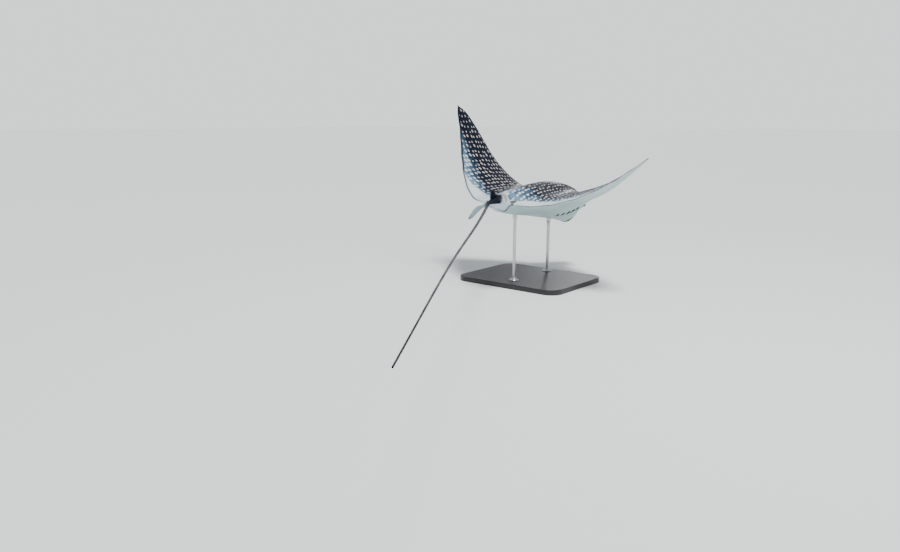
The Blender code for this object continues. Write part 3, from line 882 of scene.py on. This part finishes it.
def addBump(nodes, shader, height, strength, distance):
    bump = nodes.add("ShaderNodeBump", {"Height": height, "Strength": strength,
                                        "Distance": distance})
    nodes.put(shader.inputs["Normal"], bump.outputs[0])


def spotMask(nodes, flat, size, spot):
    # Oval spots, one per Voronoi cell, each turned towards the head
    cells = nodes.vector("SCALE", flat)
    cells.node.inputs["Scale"].default_value = 1 / skinLook["spotSpacing"]
    voronoi = nodes.add("ShaderNodeTexVoronoi", {"Vector": cells, "Scale": 1.0,
                                                     "Randomness": skinLook["spotRandom"]},
                        voronoi_dimensions="2D", feature="F1")
    offset = nodes.split(nodes.vector("SUBTRACT", cells, voronoi.outputs["Position"]))
    ahead = nodes.vector("SUBTRACT", (0, skinLook["spotAim"], 0), flat)
    ahead = nodes.split(nodes.vector("NORMALIZE", nodes.vector("MULTIPLY", ahead, (1, 1, 0))))
    along = nodes.plus(nodes.times(offset[0], ahead[0]), nodes.times(offset[1], ahead[1]))
    beside = nodes.math("SUBTRACT", nodes.times(offset[0], ahead[1]),
                        nodes.times(offset[1], ahead[0]))
    spacing = skinLook["spotSpacing"]
    away = nodes.length(nodes.math("DIVIDE", along, skinLook["spotLength"] / spacing),
                        nodes.math("DIVIDE", beside, skinLook["spotWidth"] / spacing))
    random = nodes.split(voronoi.outputs["Color"])
    varied = nodes.times(size, nodes.ramp(random[0], 0.0, 1.0, *skinLook["spotSizes"]))
    ragged = nodes.sway(varied, nodes.noise(spot, 90, 1.0), 0.09)
    return nodes.ramp(nodes.math("SUBTRACT", ragged, away), -0.16, 0.16), random[1]


def ovalFar(nodes, mirrored, oval, forward, lateral):
    # Squared distance from the middle of an oval on the flat map, 1 at its edge
    angle = math.radians(oval["turn"])
    away = nodes.vector("SUBTRACT", mirrored, (lateral, forward, 0))
    total = 0.0
    for half, aim in zip(oval["half"], ((math.sin(angle), math.cos(angle), 0),
                                        (math.cos(angle), -math.sin(angle), 0))):
        part = nodes.vector("DOT_PRODUCT", away,
                            [discWidth / half * value for value in aim], "Value")
        total = nodes.plus(nodes.times(part, part), total)
    return total


def recessShadeMask(nodes, flat, back, fin, drawn):
    # Painted shade: the gill slits' dark insides below, and the shaded corners behind the disc
    # above
    mirrored = nodes.vector("ABSOLUTE", flat)
    nearest = 9.0
    for forward, lateral in gills["places"]:
        nearest = nodes.math("MINIMUM", ovalFar(nodes, mirrored, gills, forward, lateral), nearest)
    below = nodes.times(nodes.ramp(nearest, 2.3, 1.1), nodes.ramp(back, 0.3, 0.1))
    corner = nodes.ramp(ovalFar(nodes, mirrored, axilShade, axilShade["forward"], axilShade["lateral"]),
                        2.2, 0.1, 0, axilShade["dark"])
    corner = nodes.times(corner, nodes.ramp(back, 0.6, 0.8))
    corner = nodes.times(corner, nodes.ramp(fin, 0.5, 0.1))
    return nodes.math("MAXIMUM", drawn, nodes.math("MAXIMUM", below, corner))


def makeSkinMaterial(mottle):
    look = skinLook
    material, nodes, shader, spot, cloud, grain = startMaterial(
        "eagle ray skin", mottle, 7.0, 420.0, Coat_Weight=look["coat"],
        Coat_Roughness=look["coatRough"], Specular_IOR_Level=look["sheen"])
    flat = nodes.read("flat")
    marks, extras = nodes.split(nodes.read("marks")), nodes.split(nodes.read("extras"))
    more = nodes.split(nodes.read("more"))
    back, dark, spotting = marks
    slit, whip, rim = extras
    fin, tips, pale = more
    slit = recessShadeMask(nodes, flat, back, fin, slit)
    patches = nodes.noise(spot, 11.0, 4.0, 0.6)
    flecks = nodes.noise(spot, 46.0, 3.0, 0.6)
    depth = nodes.sway(nodes.sway(dark, patches, 0.18), flecks, 0.14)
    ground = nodes.blend(nodes.ramp(depth, 0.10, 0.55), look["paleBlue"], look["midBlue"])
    ground = nodes.blend(nodes.ramp(depth, 0.42, 0.88), ground, look["slate"])
    ground = nodes.blend(nodes.times(nodes.ramp(patches, 0.45, 0.75), 0.35),
                         ground, look["slateShade"])
    white = nodes.blend(cloud, look["pale"], look["paleShade"])
    band = nodes.sway(pale, patches, 0.22)
    ground = nodes.blend(nodes.ramp(band, 0.30, 0.80), ground, white)
    growth = nodes.ramp(dark, 0.75, 0.20, 1.0, 1.42)
    spots, tone = spotMask(nodes, flat, nodes.times(spotting, growth), spot)
    spots = nodes.times(spots, nodes.ramp(spotting, 0.05, 0.3))
    spots = nodes.times(spots, nodes.ramp(band, 0.85, 0.45))
    warm = nodes.blend(nodes.ramp(dark, 0.3, 0.9), look["spots"], look["spotsWarm"])
    warm = nodes.blend(nodes.times(tone, 0.35), warm, look["spotShade"])
    upper = nodes.blend(spots, ground, warm)
    upper = nodes.blend(nodes.times(rim, 0.9), upper, look["slate"])
    finTone = nodes.blend(nodes.times(rim, 0.92), look["finBlue"], look["slate"])
    upper = nodes.blend(fin, upper, finTone)
    belly = nodes.blend(nodes.times(cloud, 0.55), look["belly"], look["bellyShade"])
    dusk = nodes.times(nodes.math("MAXIMUM", nodes.times(rim, 0.75), tips),
                      nodes.ramp(patches, 0.25, 0.7, 0.35, 0.9))
    belly = nodes.blend(dusk, belly, look["bellyDusk"])
    edge = nodes.sway(back, patches, 0.16)
    colour = nodes.blend(nodes.ramp(edge, 0.36, 0.62), belly, upper)
    tailTone = nodes.blend(nodes.ramp(patches, 0.4, 0.75), look["tail"], look["tailShade"])
    colour = nodes.blend(whip, colour, tailTone)
    # painted shade in the slits, hollows, eye openings and the corners behind the disc
    colour = nodes.blend(slit, colour, look["slit"])
    nodes.put(shader.inputs["Base Color"], colour)
    wet = nodes.ramp(cloud, 0, 1, look["wetness"] - 0.05, look["wetness"] + 0.09)
    wet = nodes.plus(wet, nodes.times(slit, 0.4))
    wet = nodes.plus(wet, nodes.ramp(grain, 0, 1, -0.03, 0.05))
    nodes.put(shader.inputs["Roughness"], wet)
    rays = nodes.add("ShaderNodeTexWave", {"Vector": flat, "Scale": 26.0, "Distortion": 1.6,
                                           "Detail": 2.0}, bands_direction="Y")
    height = nodes.plus(nodes.times(grain, 0.5), nodes.times(rays.outputs[1], 0.35))
    height = nodes.plus(height, nodes.times(patches, 1.2))
    height = nodes.plus(height, nodes.times(spots, 0.10))
    addBump(nodes, shader, height, strength=0.35, distance=0.0012)
    return material


def finishPiece(name, bm, material, replaced=(), sharp=None):
    mesh = bpy.data.meshes.new(name)
    bm.to_mesh(mesh)
    bm.free()
    mesh.materials.append(material)
    mesh.shade_smooth()
    if sharp:
        mesh.set_sharp_from_angle(angle=math.radians(sharp))
    piece = bpy.data.objects.new(name, mesh)
    bpy.context.scene.collection.objects.link(piece)
    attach(piece, "root")
    if replaced:
        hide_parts(*replaced)
    return piece


def makeSkin(mottle):
    bm = makeSkinGrid()
    refineDetails(bm)
    raiseDorsalFin(bm)
    grid3 = vertArray(bm)
    state = shapeSkin(bm)
    masks = backMasks(state)
    replaced = [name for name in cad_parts
                if not name.startswith(("stand", "eye", "stinging"))]
    piece = finishPiece("ray_skin", bm, makeSkinMaterial(mottle), replaced, sharp=65)
    writeVectors(piece.data, "flat", state["span"], state["forward"], state["across"])
    writeVectors(piece.data, "marks", masks["back"], masks["dark"], masks["spotting"])
    writeVectors(piece.data, "extras", state["slit"], masks["whip"], masks["rim"])
    writeVectors(piece.data, "more", masks["fin"], masks["tips"], masks["pale"])
    layMap(piece.data, grid3)
    return piece


mottle = makeMottleGroup()
skin = makeSkin(mottle)
print("skin ready", len(skin.data.polygons), "faces,",
      sum(len(face.vertices) - 2 for face in skin.data.polygons), "triangles")


# The eyes: one ball each, its iris and pupil facing along the gaze

eyeLook = {"segments": 56, "rings": 36, "pupil": (0.42, 0.29), "clearFront": 0.0009,
           "dark": (0.004, 0.004, 0.005), "brown": (0.045, 0.025, 0.012),
           "gold": (0.17, 0.105, 0.045), "white": (0.20, 0.20, 0.21)}


def makeEyeMaterial(mottle):
    look = eyeLook
    material, nodes, shader, _, cloud, grain = startMaterial(
        "ray eye", mottle, 60.0, 900.0, Coat_Weight=1.0, Coat_Roughness=0.03, IOR=1.40)
    x, y, turn = nodes.split(nodes.read("gaze"))
    spokes = nodes.add("ShaderNodeCombineXYZ", {0: nodes.times(turn, 9.0), 1: nodes.times(x, 0.5)})
    streaks = nodes.noise(spokes.outputs[0], 3.0)
    far = nodes.length(x, y)
    wide, tall = look["pupil"]
    pupil = nodes.length(nodes.math("DIVIDE", x, wide), nodes.math("DIVIDE", y, tall))
    iris = nodes.blend(nodes.ramp(streaks, 0.35, 0.7), look["brown"], look["gold"])
    iris = nodes.blend(nodes.ramp(far, 0.54, 0.72), iris, look["dark"])
    colour = nodes.blend(nodes.ramp(far, 0.90, 0.97), iris, look["white"])
    colour = nodes.blend(nodes.ramp(pupil, 1.08, 0.94), colour, look["dark"])
    nodes.put(shader.inputs["Base Color"], colour)
    nodes.put(shader.inputs["Roughness"], nodes.ramp(cloud, 0, 1, 0.10, 0.20))
    addBump(nodes, shader, grain, strength=0.05, distance=0.0002)
    return material


def makeEye(label, side, material):
    centre, radius = eyeBall(label)
    gaze, along, up = eyeAxes(side)
    bm = bmesh.new()
    bmesh.ops.create_uvsphere(bm, u_segments=eyeLook["segments"], v_segments=eyeLook["rings"],
                              radius=radius)
    turn = Matrix((along, up, gaze)).transposed()
    bmesh.ops.rotate(bm, verts=bm.verts, cent=(0, 0, 0), matrix=turn)
    bmesh.ops.recalc_face_normals(bm, faces=bm.faces)
    for vert in bm.verts:   # the clear front stands a little proud of the ball
        share = max(vert.co.normalized().dot(Vector(gaze)), 0)
        vert.co += Vector(gaze) * eyeLook["clearFront"] * share**6
    bmesh.ops.translate(bm, verts=bm.verts, vec=centre)
    away = (vertArray(bm) - centre) / radius
    piece = finishPiece("ray_eye_" + label, bm, material, ["eye_" + label])
    x, y = away @ along, away @ up
    writeVectors(piece.data, "gaze", x, y, np.arctan2(y, x))
    return piece


eyeMaterial = makeEyeMaterial(mottle)
for label, side in (("left", 1), ("right", -1)):
    makeEye(label, side, eyeMaterial)
print("eyes ready")


# The stinging spine: a flat serrated blade lying back along the tail's top

sting = {"start": 0.078, "length": 0.056, "half": 0.0035, "thick": 0.0021, "tilt": 4,
         "clear": 0.0032, "rings": 96, "barbs": 24, "barb": 0.0009, "bone": (0.52, 0.46, 0.35),
         "shade": (0.25, 0.20, 0.14)}


def makeStingMaterial(mottle):
    material, nodes, shader, _, cloud, grain = startMaterial(
        "spine bone", mottle, 90.0, 1200.0, Specular_IOR_Level=0.45)
    colour = nodes.blend(cloud, sting["bone"], sting["shade"])
    colour = nodes.blend(nodes.times(grain, 0.3), colour, sting["shade"])
    nodes.put(shader.inputs["Base Color"], colour)
    nodes.put(shader.inputs["Roughness"], nodes.ramp(grain, 0, 1, 0.38, 0.6))
    addBump(nodes, shader, grain, strength=0.3, distance=0.0004)
    return material


def makeSting(material):
    bm = bmesh.new()
    bmesh.ops.create_cone(bm, segments=12, radius1=1, radius2=1, depth=1, cap_ends=True)
    long = [edge for edge in bm.edges if abs(edge.verts[0].co.z - edge.verts[1].co.z) > 0.5]
    bmesh.ops.subdivide_edges(bm, edges=long, cuts=sting["rings"] - 1, use_grid_fill=False)
    at = np.array([sting["start"] - 0.01, sting["start"], sting["start"] + 0.02])
    places, beside, _ = tailFrames(at)
    root, beside = Vector(places[1]), Vector(beside[1])
    ahead = Vector(places[2] - places[0]).normalized()
    clear = float(through(tailHalf, at)[1]) * discWidth * 1.1 + sting["clear"]
    rise = math.tan(math.radians(sting["tilt"]))
    for vert in bm.verts:
        share = vert.co.z + 0.5
        back = share * sting["length"] * discWidth
        taper = 1 - 0.90 * share**2.2
        saw = (share * sting["barbs"]) % 1
        barb = sting["barb"] * saw * min(share * 6, 1) * taper
        wide = vert.co.x * (sting["half"] * taper + barb)
        groove = 1 - 0.35 * math.exp(-(vert.co.x / 0.3)**2) * (vert.co.y > 0)
        thick = vert.co.y * sting["thick"] * (0.25 + 0.75 * taper) * groove
        vert.co = root + ahead * back + beside * wide + Vector((0, 0, clear + back * rise + thick))
    bmesh.ops.recalc_face_normals(bm, faces=bm.faces)
    return finishPiece("ray_sting", bm, material, ["stinging_spine"], sharp=40)


makeSting(makeStingMaterial(mottle))
print("spine ready")


# The stand: the solids' own shapes, better finishes, and a small flange under each rod

stand = {"paint": (0.014, 0.014, 0.015), "paintShade": (0.020, 0.020, 0.022),
         "wear": (0.10, 0.085, 0.065), "scuffs": 0.20, "steel": (0.56, 0.57, 0.58),
         "steelShade": (0.40, 0.41, 0.42)}
flange = {"radius": 0.030, "thick": 0.006, "gap": 0.0004, "bore": 0.0106, "chamfer": 0.0016,
          "collar": ((0.0175, 0), (0.0155, 0.0050), (0.0135, 0.0085), (0.0106, 0.0090)),
          "steps": 48, "screws": 3, "screwCircle": 0.0235, "screwRise": 0.0012,
          "screwHalf": (0.0042, 0.0030), "screwDepth": 0.0022}


def makePaint(mottle):
    material, nodes, shader, spot, cloud, grain = startMaterial(
        "satin black paint", mottle, 5.0, 260.0, Specular_IOR_Level=0.45)
    wear = nodes.noise(spot, 38.0, 6.0)
    scuffs = nodes.times(nodes.ramp(wear, 0.64, 0.76), stand["scuffs"])
    colour = nodes.blend(nodes.times(cloud, 0.3), stand["paint"], stand["paintShade"])
    nodes.put(shader.inputs["Base Color"], nodes.blend(scuffs, colour, stand["wear"]))
    nodes.put(shader.inputs["Roughness"], nodes.ramp(grain, 0, 1, 0.36, 0.44))
    wood = nodes.noise(nodes.vector("MULTIPLY", spot, (4, 60, 60)), 3.0, 5.0)
    height = nodes.plus(nodes.times(grain, 0.4), wood)
    addBump(nodes, shader, height, strength=0.25, distance=0.0008)
    return material


def makeSteel(mottle):
    material, nodes, shader, spot, cloud, _ = startMaterial(
        "brushed steel", mottle, 12.0, 500.0, Metallic=1.0)
    brushed = nodes.noise(nodes.vector("MULTIPLY", spot, (900, 900, 12)), 1.0, 2.0)
    colour = nodes.blend(nodes.times(cloud, 0.5), stand["steel"], stand["steelShade"])
    nodes.put(shader.inputs["Base Color"], colour)
    nodes.put(shader.inputs["Roughness"], nodes.ramp(brushed, 0.3, 0.7, 0.24, 0.40))
    addBump(nodes, shader, brushed, strength=0.15, distance=0.0002)
    return material


def makeFlange(label, material):
    low, high = (Vector(corner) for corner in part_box("stand_rod_" + label))
    middle = (low + high) / 2
    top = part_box("stand_base")[1][2]
    bore, radius, thick = flange["bore"], flange["radius"], flange["thick"]
    profile = [(bore, 0), (radius, 0), (radius, thick * 0.6),
               (radius - flange["chamfer"], thick * 0.95)]
    profile += [(out, thick + rise) for out, rise in flange["collar"]]
    bm = bmesh.new()
    verts = [bm.verts.new((out, 0, flange["gap"] + rise)) for out, rise in profile]
    edges = [bm.edges.new(pair) for pair in zip(verts, verts[1:] + verts[:1])]
    bmesh.ops.spin(bm, geom=verts + edges, cent=(0, 0, 0), axis=(0, 0, 1), dvec=(0, 0, 0),
                   angle=2 * math.pi, steps=flange["steps"], use_merge=True)
    wide, narrow = flange["screwHalf"]
    for turn in range(flange["screws"]):
        angle = math.radians(90 + 360 / flange["screws"] * turn)
        spot = (flange["screwCircle"] * math.cos(angle), flange["screwCircle"] * math.sin(angle),
                thick + flange["screwRise"])
        made = bmesh.ops.create_cone(bm, segments=16, radius1=wide, radius2=narrow,
                                     depth=flange["screwDepth"], cap_ends=True)
        bmesh.ops.translate(bm, verts=made["verts"], vec=spot)
    bmesh.ops.remove_doubles(bm, verts=bm.verts, dist=0.00001)
    bmesh.ops.recalc_face_normals(bm, faces=bm.faces)
    bmesh.ops.translate(bm, verts=bm.verts, vec=(middle.x, middle.y, top))
    return finishPiece("stand_flange_" + label, bm, material, sharp=35)


def dressNode(name, material):
    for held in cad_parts[name].material_slots:
        held.material = material


paint, steel = makePaint(mottle), makeSteel(mottle)
dressNode("stand_base", paint)
for label in ("front", "rear"):
    dressNode("stand_rod_" + label, steel)
    makeFlange(label, steel)
print("stand ready")


# Floor, light and camera

studio = {"floor": (0.74, 0.76, 0.77), "floorSize": 160.0, "sky": (0.90, 0.94, 0.97),
          "skyStrength": 0.62, "backdrop": 1.322}
suns = {"sun": {"aim": (0.35, -0.25, -1.0), "spread": 14, "strength": 3.9,
                "colour": (1.0, 0.985, 0.96)},
        "rim": {"aim": (-0.47, 0.86, -0.22), "spread": 6, "strength": 0.09,
                "colour": (0.95, 0.98, 1.0)}}
key = {"place": (-2.6, 1.2, 3.4), "size": 1.4, "power": 60, "colour": (1.0, 0.98, 0.95)}
camera = {"place": (-2.6005, 3.8992, 0.9972), "turn": 39.87, "down": 11.75, "lens": 30,
          "sensor": 36, "clip": (0.05, 200)}


def makeFloor():
    bm = bmesh.new()
    bmesh.ops.create_grid(bm, x_segments=8, y_segments=8, size=studio["floorSize"] / 2)
    mesh = bpy.data.meshes.new("floor")
    bm.to_mesh(mesh)
    bm.free()
    material = bpy.data.materials.new("floor")
    material.use_nodes = True
    shader = material.node_tree.nodes["Principled BSDF"]
    shader.inputs["Base Color"].default_value = (*studio["floor"], 1)
    shader.inputs["Roughness"].default_value = 0.75
    mesh.materials.append(material)
    floor = bpy.data.objects.new("floor", mesh)
    bpy.context.scene.collection.objects.link(floor)


def placeLight(name, data, spot, aim):
    lamp = bpy.data.objects.new(name, data)
    lamp.location = spot
    lamp.rotation_euler = aim.to_track_quat("-Z", "Y").to_euler()
    bpy.context.scene.collection.objects.link(lamp)


def makeLights():
    world = bpy.data.worlds.new("studio")
    world.use_nodes = True
    bpy.context.scene.world = world
    sky = world.node_tree.nodes["Background"].inputs
    sky["Color"].default_value = (*studio["sky"], 1)
    sky["Strength"].default_value = studio["skyStrength"]
    nodes = Nodes(world.node_tree)   # what the camera sees behind the floor is as pale as it
    seen = nodes.add("ShaderNodeBackground", {"Color": studio["floor"],
                                              "Strength": studio["backdrop"] / studio["floor"][1]})
    choice = nodes.add("ShaderNodeMixShader", {
        0: nodes.add("ShaderNodeLightPath").outputs["Is Camera Ray"],
        1: world.node_tree.nodes["Background"].outputs[0], 2: seen.outputs[0]})
    nodes.put(world.node_tree.nodes["World Output"].inputs["Surface"], choice.outputs[0])
    for name, sun in suns.items():
        data = bpy.data.lights.new(name, "SUN")
        data.energy, data.color = sun["strength"], sun["colour"]
        data.angle = math.radians(sun["spread"])
        placeLight(name, data, (0, 0, 5), Vector(sun["aim"]))
    data = bpy.data.lights.new("key", "AREA")
    data.size, data.energy, data.color = key["size"], key["power"], key["colour"]
    aim = Vector((0, 0, ray["height"])) - Vector(key["place"])
    placeLight("key", data, key["place"], aim)


def makeCamera():
    data = bpy.data.cameras.new("camera")
    data.lens, data.sensor_width = camera["lens"], camera["sensor"]
    data.clip_start, data.clip_end = camera["clip"]
    eye = bpy.data.objects.new("camera", data)
    eye.location = camera["place"]
    turn, down = math.radians(camera["turn"]), math.radians(camera["down"])
    aim = Vector((math.sin(turn), -math.cos(turn), -math.tan(down)))
    eye.rotation_euler = aim.to_track_quat("-Z", "Y").to_euler()
    bpy.context.scene.collection.objects.link(eye)
    bpy.context.scene.camera = eye


makeFloor()
makeLights()
makeCamera()
print("studio ready")
